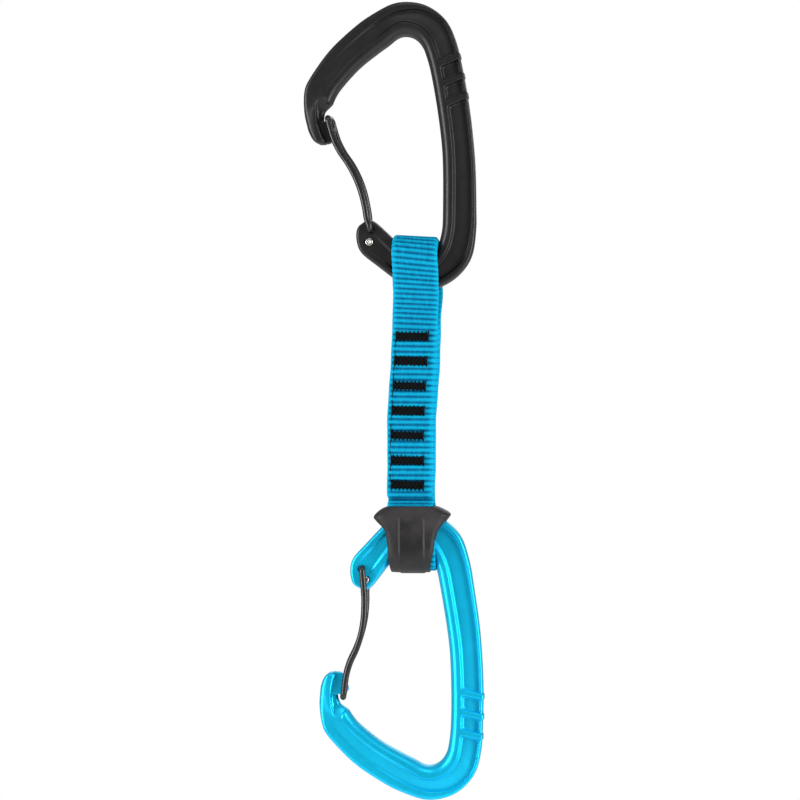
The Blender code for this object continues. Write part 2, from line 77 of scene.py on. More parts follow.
# Cross-lines from the nose tip round to the gate ear: inner x, z and outer x, z.
STATIONS = [
    (-30.9, -34.95, -33.0, -34.75), (-30.2, -33.6, -35.0, -33.2), (-30.6, -31.0, -36.4, -30.2),
    (-30.9, -28.0, -37.0, -27.0), (-30.8, -25.6, -37.35, -24.4), (-30.15, -23.6, -37.4, -22.2),
    (-28.9, -22.5, -37.35, -20.6), (-27.4, -21.2, -37.2, -18.8), (-26.3, -19.2, -36.8, -16.2),
    (-24.3, -16.4, -35.4, -12.8), (-17.0, -9.7, -26.6, -2.5), (-9.0, -4.5, -16.0, 5.6),
    (-5.9, -2.75, -10.4, 8.7), (-2.6, -0.5, -4.2, 11.4), (0.0, 0.0, 0.6, 12.0),
    (3.3, -1.1, 8.2, 10.2), (5.8, -4.1, 14.8, 4.3), (6.95, -8.0, 17.6, -3.5),
    (7.9, -13.5, 18.8, -11.8), (8.9, -25.0, 20.0, -25.0), (9.4, -38.0, 20.4, -38.0),
    (9.0, -48.0, 20.2, -49.0), (7.6, -63.0, 19.15, -63.2), (6.8, -68.6, 18.5, -69.6),
    (4.9, -73.8, 16.2, -78.9), (2.0, -77.4, 10.9, -85.1), (-1.0, -78.5, 4.0, -88.5),
    (-3.8, -77.3, -3.2, -89.3), (-6.4, -74.5, -9.7, -85.3), (-10.5, -69.8, -17.1, -78.55),
    (-13.9, -65.9, -22.2, -73.7), (-16.0, -63.65, -23.3, -69.6), (-17.6, -62.75, -22.95, -66.2),
    (-18.9, -62.7, -22.0, -64.5),
]
LAST_STATION = len(STATIONS) - 1
EAR_HALF = 3.75
# How the section changes along the stations: (station, millimetres) knots.
BEAD_HALF = [(0, 4.0), (6, 4.3), (10, 4.6), (13, 5.0), (16, 4.9), (18, 4.3), (28, 4.3), (30, EAR_HALF)]
RIM_HALF = [(0, 4.0), (10, 4.2), (14, 4.0), (16.4, 3.2), (20, 3.15), (22, 3.4), (24, 3.6), (28, 3.8),
            (30, EAR_HALF)]
POCKET_DEPTH = [(8, 0.0), (10, 0.25), (12, 1.0), (14, 1.45), (23, 1.45), (27, 1.25), (29, 0.55), (30.2, 0.0)]
BEAD_WIDTH = [(0, 3.0), (10, 3.0), (14, 4.4), (17, 3.6), (29, 3.2)]
RIM_WIDTH = [(10, 3.2), (14, 2.6), (16, 0.75), (17, 0.6), (21, 0.6), (23, 0.8), (25, 2.0)]
BEAD_ROUND = [(0, 2.2), (10, 2.7), (14, 3.8), (18, 2.9), (28, 2.7), (30, 1.0)]
RIM_ROUND = [(0, 1.2), (10, 1.3), (14, 1.4), (16, 0.6), (20, 0.5), (22, 0.6), (26, 1.3), (30, 1.0)]
BEAD_FULLNESS = 2.25          # 2 would round the inner edge as an ellipse
POCKET_WALL = 1.05
RIM_WALL = [(14, POCKET_WALL), (16, 0.5), (22, 0.5), (25, POCKET_WALL)]
CORNER_ROUND = 1.1            # how far the pocket's walls run into each other at its corners
OUTER_BULGE = 0.22            # crown of the outer side
TIP_ROUND = 1.5               # rounding of the nose's end
EAR_ROUND = 0.9               # and of the ear's
SMOOTH_FROM = (6.5, 9.0)      # stations between which the outline's own smoothing starts

RIB_ANGLE = math.radians(18.0)
RIB_FIRST = (14.8, -10.0)
RIB_STEP = (0.7, -6.93)
RIB_COUNT = 3
RIB_HALF = 3.98
RIB_THICK = 2.0
RIB_SPREAD = 0.25             # how far the pocket's wall starts inside a rib's side
RIB_STEEPNESS = 1.45          # and how much steeper it is than along the bead
RIB_BUMP = 0.32               # how far each rib stands out of the spine's outer side
RIB_STATIONS = (16.6, 20.2)
NOSE_STATION = 9.6
RING_STEPS = (0.14, 0.15, 0.42)   # distance between rings at the nose, at the ribs and elsewhere
RIB_MIDDLE = (18.4, 2.4)      # middle station of the ribs, and how many stations each side they reach

NOSE_WEB_HALF = 2.2
NOSE_LIP = [
    (-33.0, -27.6), (-31.8, -26.8), (-30.0, -26.95), (-28.4, -27.2), (-27.4, -27.6), (-27.05, -28.4),
    (-27.15, -29.6), (-27.55, -31.4), (-28.15, -33.1), (-29.2, -34.35), (-30.4, -34.75), (-31.7, -34.2),
    (-32.3, -32.8), (-32.8, -31.0), (-33.1, -29.3),
]
LIP_HALF = 2.26
LIP_ROUND = 0.55
NOSE_RECESS = [
    (-32.6, -22.6), (-32.4, -20.8), (-31.7, -19.0), (-30.9, -17.6), (-30.3, -18.2), (-29.7, -20.0),
    (-28.7, -21.4), (-26.0, -23.0), (-24.0, -30.0), (-26.0, -37.0), (-29.2, -36.5), (-30.0, -33.9),
    (-31.1, -32.2), (-32.0, -29.5), (-32.6, -26.5),
]
RECESS_WALL = 0.85
RECESS_FADE = (-18.0, -24.6)  # heights between which the recess sinks into the arm
NOSE_RIDGE = 3.4              # distance of the nose tube's ridge from the bar's inner edge
NOSE_CROWN = 0.85
FACE_CROWN = 0.12

# Wire gate
WIRE_RADIUS = 1.1
FRONT_PIN = (-18.1, -66.3)
REAR_PIN = (-18.75, -70.5)
GATE_AXIS = tuple(0.5 * (a + b) for a, b in zip(FRONT_PIN, REAR_PIN))
HOLE_CLEARANCE = 0.13
PIN_RADIUS = 0.45             # hidden part of the pins, in the ear holes
PIN_END = 3.4
# Dimpled heads of the pins: distance past the pin's end, and radius.
PIN_HEAD = [(0.3, 0.42), (0.39, 0.44), (0.4, 1.14), (0.46, 1.27), (0.58, 1.3), (0.69, 1.22), (0.75, 1.05),
            (0.73, 0.75), (0.62, 0.5), (0.47, 0.3), (0.42, 0.06)]
LEG_OUT = 5.3
LOOP_OUT = 3.7
PIN_BEND = 1.3
LOOP_BEND = 1.5
CROSSBAR = (-29.1, -25.9)
GATE_SKEW = 0.36              # sideways lean of each leg towards the loop
LEG_PATH = [(-18.75, -62.0), (-18.95, -58.5), (-19.7, -53.0), (-21.1, -47.7), (-23.2, -42.6),
            (-25.6, -38.3), (-27.2, -34.4), (-28.1, -30.9), (-28.75, -27.4)]
WIRE_SIDES = 28

# Webbing, in world y and z
WEB_HALF = 8.0
PLY = 1.5
PLY_HALF = 0.73
RIB_PITCH = 1.96
RIB_DEPTH = 0.42
ROWS_PER_RIB = 10
WEB_COLUMNS = 61
HEM_ROUND = 0.55
RIB_SLOPES = [(-165.0, 0.0), (-108.0, 0.015), (-98.0, 0.06), (-70.0, 0.055)]  # drop per millimetre of x
# Centre of the front ply by height, and how far the rear ply lies towards the spine.
CENTRE = [(-187.0, 3.1), (-178.0, 2.9), (-168.0, 2.2), (-162.0, 1.9), (-139.0, 1.8), (-133.7, 1.95),
          (-119.0, 2.7), (-104.0, 3.6), (-89.0, 4.3), (-76.0, 3.95)]
REAR_SHIFT = [(-187.0, 0.0), (-176.0, 0.2), (-168.0, 0.6), (-134.0, 1.0), (-119.0, 1.2), (-104.0, 1.0),
              (-90.0, 0.6), (-76.0, 0.0)]
FOLD_DROP = (1.2, 0.05, 0.8)  # how the top fold sits: drop, slope towards +X, drop of its corners
UPPER_PIVOT_Z = -76.4
LOWER_TURN_Z = -180.55
UPPER_TURN_HALF = 7.65
LOWER_TURN_HALF = 5.55
UPPER_SPLIT_Z = -110.3        # where the webbing's pieces meet, in grooves between ribs
LOWER_SPLIT_Z = UPPER_SPLIT_Z - 24.0 * RIB_PITCH
MIDDLE_TOP_Z = -101.2
TAIL_Z = -161.4

# Bar tacks
TACK_COUNT = 7
TACK_TOP_Z = -104.85
TACK_PITCH = 8.663
TACK_HALF = (5.6, 1.75)
TACK_OFFSET = -0.9
TACK_STITCH = 1.33
THREAD_RADIUS = 0.25
RUNNING_RADIUS = 0.14

# Rubber keeper: z with the left and right edges of its front
KEEPER_EDGES = [
    (-164.15, -6.2, 11.2), (-165.0, -8.0, 13.1), (-166.0, -9.3, 15.0), (-167.0, -10.3, 16.2),
    (-168.1, -11.0, 15.5), (-169.6, -9.6, 14.3), (-171.4, -7.6, 12.7), (-173.0, -6.6, 11.7),
    (-175.5, -6.1, 11.1), (-178.5, -5.75, 10.8), (-182.5, -5.55, 10.0), (-185.4, -5.2, 9.4),
    (-187.3, -4.6, 8.8),
]
KEEPER_DEPTH = 8.2
KEEPER_SIDES = 380
KEEPER_GAP = 0.35
LOOP_GAP = 0.1
KEEPER_PANEL = (-1.9, 7.6)    # left and right edges of the raised panel
PANEL_STEP = 0.85

# Camera and floor, in metres
CAMERA_AZIMUTH = math.radians(4.5)
CAMERA_DISTANCE = 1.1
CAMERA_SHIFT = (0.0020, 0.0, 0.0003)  # aim, measured from the middle of the CAD box
VIEW_SHARE = 1.0043           # width of the view as a share of the object's height
FLOOR_DROP = 0.5
FLOOR_RADIUS = 3.5


# ---- Small tools ----

def smooth(value):
    """Smooth step of a value between 0 and 1."""
    t = np.clip(value, 0.0, 1.0)
    return t * t * (3.0 - 2.0 * t)


def knots(table, places):
    stations, values = zip(*table)
    return np.interp(places, stations, values)


def soft_min(a, b, reach):
    """The lower of two fields, rounded where they come closer than reach."""
    near = np.clip(reach - np.abs(a - b), 0.0, None) / reach
    return np.minimum(a, b) - near * near * reach * 0.25


def spline(table, places):
    """Points on the smooth curve through a table's rows, at fractional indices."""
    rows = np.array(table, dtype=float)
    last = len(rows) - 1
    index = np.minimum(places.astype(int), last - 1)
    t = (places - index)[:, None]
    p1, p2 = rows[index], rows[index + 1]
    p0 = np.where(index[:, None] > 0, rows[np.maximum(index - 1, 0)], 2.0 * p1 - p2)
    p3 = np.where(index[:, None] + 2 <= last, rows[np.minimum(index + 2, last)], 2.0 * p2 - p1)
    return 0.5 * (2.0 * p1 + (p2 - p0) * t + (2.0 * p0 - 5.0 * p1 + 4.0 * p2 - p3) * t ** 2
                  + (3.0 * p1 - p0 - 3.0 * p2 + p3) * t ** 3)


def smooth_path(points, steps):
    return spline(points, np.linspace(0.0, len(points) - 1, (len(points) - 1) * steps + 1))


def lengths(path):
    """Distance along a path at each of its points."""
    steps = np.linalg.norm(np.diff(path, axis=0), axis=1)
    return np.concatenate(([0.0], np.cumsum(steps)))


def read_rows(places, along, rows):
    """Rows at given places, read from rows that lie at the places in along."""
    return np.stack([np.interp(places, along, column) for column in rows.T], axis=1)


def resampled(path, places):
    """Points of a path at given distances along it."""
    return read_rows(places, lengths(path), path)


def unit(rows):
    """Rows scaled to length 1."""
    return rows / np.linalg.norm(rows, axis=1)[:, None]


def circle(centre, first, second, radius, sides):
    """Points round a centre, in the plane of two unit vectors."""
    angles = np.linspace(0.0, 2.0 * math.pi, sides, endpoint=False)
    return centre + radius * (np.cos(angles)[:, None] * first + np.sin(angles)[:, None] * second)


def blurred(rows, reach):
    """Rows averaged with their neighbours by a bell curve, with the ends kept."""
    span = np.arange(-3 * reach, 3 * reach + 1)
    bell = np.exp(-0.5 * (span / reach) ** 2)
    bell /= bell.sum()
    padded = np.pad(rows, ((3 * reach, 3 * reach), (0, 0)), mode="reflect", reflect_type="odd")
    return np.stack([np.convolve(padded[:, k], bell, mode="valid") for k in range(rows.shape[1])], axis=1)


def arc(centre, radius, start, end, steps):
    angles = np.radians(np.linspace(start, end, steps + 1))
    return [(centre[0] + radius * math.cos(a), centre[1] + radius * math.sin(a)) for a in angles]


def outline_distance(x, z, outline):
    """Distance of points from a closed outline, negative inside it."""
    nearest = np.full(x.shape, 1e9)
    inside = np.zeros(x.shape, dtype=bool)
    for (ax, az), (bx, bz) in zip(outline, outline[1:] + outline[:1]):
        ex, ez = bx - ax, bz - az
        t = np.clip(((x - ax) * ex + (z - az) * ez) / (ex * ex + ez * ez), 0.0, 1.0)
        nearest = np.minimum(nearest, np.hypot(x - ax - t * ex, z - az - t * ez))
        if az != bz:
            crosses = ((az > z) != (bz > z)) & (x < ax + (z - az) * ex / ez)
            inside ^= crosses
    return np.where(inside, -nearest, nearest)


def new_object(name, data):
    item = bpy.data.objects.new(name, data)
    bpy.context.scene.collection.objects.link(item)
    return item


def shade_mesh(mesh, sharp=None):
    """Smooth shading, with edges sharp where faces meet at more than sharp degrees."""
    mesh.shade_smooth()
    if sharp is not None:
        mesh.set_sharp_from_angle(angle=math.radians(sharp))


class Pile:
    """Closed shells of points that become one mesh."""

    def __init__(self):
        self.points = []
        self.faces = []
        self.slots = []
        self.marks = []
        self.count = 0

    def add(self, grid, marks=None, slot=0):
        """A tube through rings of points, closed at both ends and facing outwards."""
        rows, columns = grid.shape[:2]
        index = np.arange(rows * columns).reshape(rows, columns)
        after = np.roll(index, -1, axis=1)
        quads = np.stack((index[:-1], after[:-1], after[1:], index[1:]), axis=-1).reshape(-1, 4)
        points = grid.reshape(-1, 3)
        centred = points - points.mean(axis=0)
        a, b, c, d = (centred[quads[:, k]] for k in range(4))
        volume = np.einsum("ij,ij->i", a, np.cross(b, c) + np.cross(c, d)).sum()
        faces = quads.tolist() + [index[0][::-1].tolist(), index[-1].tolist()]
        if volume < 0.0:
            faces = [face[::-1] for face in faces]
        self.faces += [[place + self.count for place in face] for face in faces]
        self.slots += [slot] * len(faces)
        self.points.append(points)
        self.marks.append(np.zeros((len(points), 3)) if marks is None else marks.reshape(-1, 3))
        self.count += len(points)

    def finish(self, name, materials, placing=None, sharp=None):
        """One shaded object, with the marks as a vector attribute."""
        mesh = bpy.data.meshes.new(name)
        points = np.concatenate(self.points) * MM
        mesh.from_pydata(points.tolist(), [], self.faces)
        marks = mesh.attributes.new("marks", "FLOAT_VECTOR", "POINT")
        marks.data.foreach_set("vector", np.concatenate(self.marks).astype(np.float32).ravel())
        for material in materials:
            mesh.materials.append(material)
        mesh.polygons.foreach_set("material_index", self.slots)
        shade_mesh(mesh, sharp)
        if placing is not None:
            mesh.transform(placing)
        return new_object(name, mesh)


def tube_rings(path, radii, sides):
    """Rings round a path that doesn't twist."""
    tangents = unit(np.gradient(path, axis=0))
    normal = np.cross(tangents[0], (0.31, 0.83, 0.47))
    normal /= np.linalg.norm(normal)
    rings = []
    for centre, tangent, radius in zip(path, tangents, np.broadcast_to(radii, len(path))):
        normal = normal - tangent * normal.dot(tangent)
        normal /= np.linalg.norm(normal)
        rings.append(circle(centre, normal, np.cross(tangent, normal), radius, sides))
    return np.array(rings)


def solid(name, rings, materials=(), placing=None):
    """One closed shell as an object."""
    pile = Pile()
    pile.add(rings)
    return pile.finish(name, materials, placing)


def carve(item, tools, sharp):
    """Apply Booleans to an object, given as (tool object, operation), and shade the result."""
    for tool, operation in tools:
        modifier = item.modifiers.new(tool.name, "BOOLEAN")
        modifier.operation = operation
        modifier.solver = "MANIFOLD"
        modifier.object = tool
    bpy.context.view_layer.update()
    graph = bpy.context.evaluated_depsgraph_get()
    mesh = bpy.data.meshes.new_from_object(item.evaluated_get(graph))
    item.modifiers.clear()
    item.data = mesh
    shade_mesh(mesh, sharp)
    for tool, _ in tools:
        bpy.data.objects.remove(tool, do_unlink=True)


# ---- Materials ----

class Nodes:
    """Short calls for the nodes that feed the shader of a material or a world."""

    def __init__(self, owner, shader):
        owner.use_nodes = True
        self.tree = owner.node_tree
        self.shader = self.tree.nodes[shader]

    def set(self, socket, value):
        self.shader.inputs[socket].default_value = value

    def link(self, output, target):
        if isinstance(target, str):
            target = self.shader.inputs[target]
        self.tree.links.new(output, target)

    def node(self, kind, **values):
        node = self.tree.nodes.new(kind)
        for key, value in values.items():
            setattr(node, key, value)
        return node

    def place(self, kind="Object"):
        """Position in the piece's own frame, or another kind of coordinates."""
        return self.node("ShaderNodeTexCoord").outputs[kind]

    def feed(self, node, *values):
        """Give a node's first inputs numbers or other nodes' outputs."""
        for socket, value in zip(node.inputs, values):
            if isinstance(value, (int, float)):
                socket.default_value = value
            elif value is not None:
                self.link(value, socket)
        return node

    def part(self, vector, name):
        """The X, Y or Z part of a vector."""
        parts = self.node("ShaderNodeSeparateXYZ")
        self.link(vector, parts.inputs["Vector"])
        return parts.outputs[name]

    def noise(self, scale, detail=3.0):
        node = self.node("ShaderNodeTexNoise")
        node.inputs["Scale"].default_value = scale
        node.inputs["Detail"].default_value = detail
        self.link(self.place(), node.inputs["Vector"])
        return node.outputs["Fac"]

    def marks(self):
        """The marks stored on the mesh."""
        return self.node("ShaderNodeAttribute", attribute_name="marks").outputs["Vector"]

    def math(self, operation, first, second=0.0):
        return self.feed(self.node("ShaderNodeMath", operation=operation), first, second).outputs["Value"]

    def times(self, first, second):
        return self.math("MULTIPLY", first, second)

    def plus(self, first, second):
        return self.math("ADD", first, second)

    def blend(self, share, first, second):
        return self.feed(self.node("ShaderNodeMix"), share, None, first, second).outputs["Result"]

    def spread(self, value, low, high, start=0.0, end=1.0):
        """A value between start and end mapped to low and high."""
        return self.feed(self.node("ShaderNodeMapRange"), value, start, end, low, high).outputs["Result"]

    def ramp(self, value, *stops):
        """Colour from a value, with (place, colour) stops."""
        node = self.node("ShaderNodeValToRGB")
        elements = node.color_ramp.elements
        while len(elements) < len(stops):
            elements.new(0.5)
        for element, (place, colour) in zip(elements, stops):
            element.position = place
            element.color = (*colour, 1.0)
        self.link(value, node.inputs["Fac"])
        return node.outputs["Color"]

    def bump(self, height, distance, strength=1.0):
        node = self.node("ShaderNodeBump")
        node.inputs["Distance"].default_value = distance
        node.inputs["Strength"].default_value = strength
        self.link(height, node.inputs["Height"])
        self.link(node.outputs["Normal"], "Normal")


class Paint(Nodes):
    """A Principled material."""

    def __init__(self, name, roughness=0.5, metallic=0.0, specular=0.5):
        self.material = bpy.data.materials.new(name)
        super().__init__(self.material, "Principled BSDF")
        self.set("Roughness", roughness)
        self.set("Metallic", metallic)
        self.set("Specular IOR Level", specular)


def anodised(name, dark, light, roughness, metallic, specular):
    """Satin anodised alloy: fine blasted grain and faint handling marks."""
    paint = Paint(name, metallic=metallic, specular=specular)
    cloud = paint.noise(90.0, 4.0)
    paint.link(paint.ramp(cloud, (0.3, dark), (0.7, light)), "Base Color")
    scuffs = paint.noise(420.0, 6.0)
    paint.link(paint.spread(scuffs, roughness - 0.02, roughness + 0.04, 0.3, 0.7), "Roughness")
    paint.bump(paint.noise(5200.0, 2.0), 0.00003, 0.35)
    return paint.material


def wire_steel(name, dark, light, roughness, metallic):
    """Drawn wire, faintly mottled."""
    paint = Paint(name, metallic=metallic)
    mottle = paint.noise(500.0, 4.0)
    paint.link(paint.ramp(mottle, (0.3, dark), (0.7, light)), "Base Color")
    paint.link(paint.spread(mottle, roughness - 0.03, roughness + 0.05, 0.3, 0.7), "Roughness")
    return paint.material


def nylon_webbing(name):
    """Woven nylon: warp yarns bent over weft ribs, coloured lighter on the yarn and plait crowns as a painted
    highlight and darker in the grooves as painted shade. Marks hold x, rib phase and groove depth.
    """
    paint = Paint(name, roughness=0.62, specular=0.06)
    across, phase, groove = (paint.part(paint.marks(), letter) for letter in "XYZ")
    rib = paint.math("FLOOR", phase)
    yarns = paint.plus(paint.times(across, 2.1), paint.times(rib, 0.5))
    ridge = paint.math("ABSOLUTE", paint.math("SINE", paint.times(yarns, math.pi)))
    cell = paint.feed(paint.node("ShaderNodeCombineXYZ"), paint.math("FLOOR", yarns), rib)
    speckle = paint.node("ShaderNodeTexWhiteNoise", noise_dimensions="2D")
    paint.link(cell.outputs["Vector"], speckle.inputs["Vector"])
    # The selvedges are a finer plait, its crowns painted lighter than its hollows as a painted highlight.
    slant = paint.times(across, 1.05)
    twice = paint.times(phase, 2.0)
    plait = []
    for lay in ("ADD", "SUBTRACT"):
        turn = paint.times(paint.math(lay, slant, twice), math.pi)
        plait.append(paint.math("ABSOLUTE", paint.math("SINE", turn)))
    braid = paint.math("SQRT", paint.times(*plait))
    edge = paint.spread(paint.math("ABSOLUTE", across), 0.0, 1.0, 6.2, 6.7)
    # Lighter on each yarn's crown, a painted highlight, with a random tone per yarn from the speckle.
    body = paint.plus(paint.times(ridge, 0.18), paint.times(speckle.outputs["Value"], 0.14))
    shade = paint.blend(edge, body, paint.times(braid, 0.5))
    fuzz = paint.noise(2600.0, 3.0)
    shade = paint.plus(shade, paint.times(fuzz, 0.2))
    # Darker the deeper the groove between ribs: painted shade.
    shade = paint.math("SUBTRACT", paint.plus(shade, 0.39), paint.times(groove, 0.6))
    paint.link(paint.ramp(shade, (0.0, (0.0, 0.045, 0.12)), (0.4, (0.0, 0.22, 0.42)),
                          (0.95, (0.002, 0.51, 0.77))), "Base Color")
    height = paint.plus(paint.blend(edge, ridge, braid), paint.times(fuzz, 0.8))
    paint.bump(height, 0.00016, 0.7)
    return paint.material


def polyester_thread(name):
    """Black twisted thread."""
    paint = Paint(name, roughness=0.6, specular=0.08)
    fuzz = paint.noise(4200.0, 3.0)
    paint.link(paint.ramp(fuzz, (0.3, (0.0006, 0.001, 0.0016)), (0.75, (0.003, 0.0045, 0.006))), "Base Color")
    paint.bump(fuzz, 0.00008, 0.6)
    return paint.material


def moulded_rubber(name):
    """Matt moulded rubber with a dusty bloom, cleaner and darker on the raised panel."""
    paint = Paint(name, specular=0.35)
    bloom = paint.noise(160.0, 5.0)
    across = paint.part(paint.place(), "X")
    left, right = (edge * MM for edge in KEEPER_PANEL)
    wide = PANEL_STEP * MM
    panel = paint.spread(across, 0.0, 1.0, left, left + wide)
    panel = paint.times(panel, paint.spread(across, 1.0, 0.0, right - wide, right))
    below = paint.spread(paint.part(paint.place(), "Z"), 1.0, 0.0, (KEEPER_EDGES[0][0] - 5.5) * MM,
                         (KEEPER_EDGES[0][0] - 2.5) * MM)
    panel = paint.times(panel, below)
    dust = paint.math("SUBTRACT", bloom, paint.times(panel, 0.17))
    paint.link(paint.ramp(dust, (0.3, (0.0095, 0.0085, 0.0085)), (0.7, (0.03, 0.027, 0.0265))), "Base Color")
    paint.link(paint.spread(dust, 0.46, 0.66, 0.2, 0.7), "Roughness")
    paint.bump(paint.noise(2200.0, 4.0), 0.00006, 0.5)
    return paint.material


# ---- Forged carabiner bodies ----

def forging_lines(inflate):
    """Inner and outer edge points of the forging at close places, with their station numbers."""
    fine = np.linspace(0.0, LAST_STATION, 6001)
    table = spline(STATIONS, fine)
    along = lengths(0.5 * (table[:, :2] + table[:, 2:]))
    ribs = (fine > RIB_STATIONS[0]) & (fine < RIB_STATIONS[1])
    step = np.where(ribs, RING_STEPS[1], np.where(fine < NOSE_STATION, RING_STEPS[0], RING_STEPS[2]))
    count = np.concatenate(([0.0], np.cumsum(np.diff(along) / step[1:])))
    wanted = np.linspace(0.0, count[-1], int(count[-1]) if inflate == 0.0 else 160)
    near = along[-1] - np.array((0.0, 0.06, 0.16, 0.3, 0.5, 0.72))
    starts = np.array((0.0, 0.05, 0.14, 0.28, 0.46, 0.7, 0.98))
    places = np.unique(np.round(np.concatenate((np.interp(wanted, count, along), near, starts)), 4))
    rows = read_rows(places, along, np.column_stack((table, fine)))
    stations = rows[:, 4]
    even = np.linspace(0.0, along[-1], 900)
    eased = read_rows(places, even, blurred(read_rows(even, along, table), 7))
    share = smooth((stations - SMOOTH_FROM[0]) / (SMOOTH_FROM[1] - SMOOTH_FROM[0]))
    share = share * smooth((LAST_STATION - 1.0 - stations) / 2.0)
    edges = rows[:, :4] + (eased - rows[:, :4]) * share[:, None]
    return edges, stations, places, along[-1]


def slant(edge, across, places):
    """How much longer a step square to an edge is along the slanted cross-lines."""
    even = np.linspace(0.0, places[-1], 700)
    ahead = unit(np.gradient(blurred(read_rows(even, places, edge), 5), axis=0))
    ahead = read_rows(places, even, ahead)
    square = np.abs(ahead[:, 0] * across[:, 1] - ahead[:, 1] * across[:, 0])
    longer = np.interp(even, places, 1.0 / np.clip(square, 0.6, 1.0))[:, None]
    return np.interp(places, even, blurred(longer, 6)[:, 0])


def forging_rings(inflate=0.0):
    """Closed rings of the bar, in the carabiner's own frame."""
    edges, stations, places, total = forging_lines(inflate)
    inner, outer = edges[:, :2], edges[:, 2:]
    across = unit(outer - inner)
    inner = inner - across * inflate
    width = np.linalg.norm(outer + across * inflate - inner, axis=1)
    bead = knots(BEAD_HALF, stations) + inflate
    rim = knots(RIM_HALF, stations) + inflate
    depth = knots(POCKET_DEPTH, stations)
    slant_in, slant_out = (slant(edge, across, places) for edge in (inner, outer))
    bead_round = np.minimum(knots(BEAD_ROUND, stations) * slant_in, 0.4 * width)
    rim_round = np.minimum(knots(RIM_ROUND, stations) * slant_out, 0.25 * width)
    bead_width = np.clip(knots(BEAD_WIDTH, stations) * slant_in, bead_round + 0.2,
                         np.maximum(0.42 * width, bead_round + 0.21))
    rim_width = np.clip(knots(RIM_WIDTH, stations) * slant_out, rim_round + 0.05,
                        np.maximum(0.3 * width, rim_round + 0.06))
    wall = np.minimum(POCKET_WALL, 0.4 * (width - bead_width - rim_width))
    rim_wall = np.minimum(wall, knots(RIM_WALL, stations))

    # Distances of the columns from the inner edge, feature by feature.
    turn = np.linspace(0.0, 0.5 * math.pi, 12)
    far = width - rim_width
    spans = [(bead_round, bead_width, 4), (bead_width, bead_width + wall, 9),
             (bead_width + wall, far - rim_wall, 13), (far - rim_wall, far, 8), (far, width - rim_round, 3)]
    columns = [bead_round * (1.0 - math.cos(a) ** (2.0 / BEAD_FULLNESS)) for a in turn]
    for start, end, steps in spans:
        columns += [start + (end - start) * k / steps for k in range(1, steps + 1)]
    corner = np.linspace(0.0, 0.5 * math.pi, 9)[1:]
    columns += [width - rim_round + rim_round * math.sin(a) for a in corner]
    distance = np.stack(columns, axis=1)
    x = inner[:, :1] + across[:, :1] * distance
    z = inner[:, 1:] + across[:, 1:] * distance

    # Height of the face above the middle plane.
    bead, rim, depth, width, wall, rim_wall = (
        value[:, None] for value in (bead, rim, depth, width, wall, rim_wall))
    bead_width, rim_width, bead_round, rim_round = (
        value[:, None] for value in (bead_width, rim_width, bead_round, rim_round))
    place = stations[:, None]
    level = smooth((distance - bead_width) / np.maximum(width - bead_width - rim_width, 0.1))
    face = bead + (rim - bead) * level
    from_rim = (width - rim_width - distance) * wall / rim_wall
    into = soft_min(distance - bead_width, from_rim, CORNER_ROUND)
    near_ribs = np.abs(place - RIB_MIDDLE[0]) < RIB_MIDDLE[1]
    rib = np.zeros_like(x)
    for number in range(RIB_COUNT):
        cx = RIB_FIRST[0] + number * RIB_STEP[0]
        cz = RIB_FIRST[1] + number * RIB_STEP[1]
        off = np.abs((z - cz) * math.cos(RIB_ANGLE) - (x - cx) * math.sin(RIB_ANGLE))
        reach = RIB_STEEPNESS * (off - 0.5 * RIB_THICK + RIB_SPREAD)
        into = np.where(near_ribs, soft_min(into, reach, CORNER_ROUND), into)
        along_rib = (x - cx) * math.cos(RIB_ANGLE) + (z - cz) * math.sin(RIB_ANGLE)
        on_spine = smooth((along_rib + 6.0) / 2.0) * near_ribs
        rib = np.maximum(rib, (1.0 - smooth((off - 0.55) / 0.9)) * on_spine)
    face = face - depth * smooth(into / wall)
    face = face + np.maximum(RIB_HALF + inflate - face, 0.0) * rib * smooth((distance - bead_width) / 0.5)
    share = distance / width
    face = face - FACE_CROWN * (2.0 * share - 1.0) ** 2
    crowned = 1.0 - smooth((place - 3.0) / 6.5)
    face = face - NOSE_CROWN * crowned * (1.0 - np.exp(-((distance - NOSE_RIDGE) / 2.6) ** 2))

    # Rounded inner and outer edges, and rounded ends.
    inset = np.clip(1.0 - distance / bead_round, 0.0, 1.0)
    dome = (1.0 - inset ** BEAD_FULLNESS) ** (1.0 / BEAD_FULLNESS)
    over = np.clip((distance - (width - rim_round)) / rim_round, 0.0, 1.0)
    height = face * dome - rim_round * (1.0 - np.sqrt(1.0 - over ** 2))
    if inflate == 0.0:
        height = with_recess(height, distance, x, z)
    for away, radius in ((places, TIP_ROUND), (total - places, EAR_ROUND)):
        short = np.clip(1.0 - away / radius, 0.0, 1.0)[:, None]
        height = np.minimum(height, height - radius * (1.0 - np.sqrt(1.0 - short ** 2)) * dome)
    height = np.maximum(height, 0.02)
    height[:, 0] = 0.0

    # The ribs' ends stand out of the outer side, and the side is slightly crowned.
    outward = RIB_BUMP * rib * smooth((distance - (width - 1.4)) / 1.4)
    x = x + across[:, :1] * outward
    z = z + across[:, 1:] * outward
    front = np.stack((x, -height, z), axis=-1)
    last = front[:, -1]
    side = []
    for share in (0.66, 0.33, 0.0):
        bulge = OUTER_BULGE * (1.0 - share ** 2)
        side.append(np.stack((last[:, 0] + across[:, 0] * bulge, last[:, 1] * share,
                              last[:, 2] + across[:, 1] * bulge), axis=-1))
    half = np.concatenate((front, np.stack(side, axis=1)), axis=1)
    back = half[:, 1:-1][:, ::-1] * np.array((1.0, -1.0, 1.0))
    return np.concatenate((half, back), axis=1)


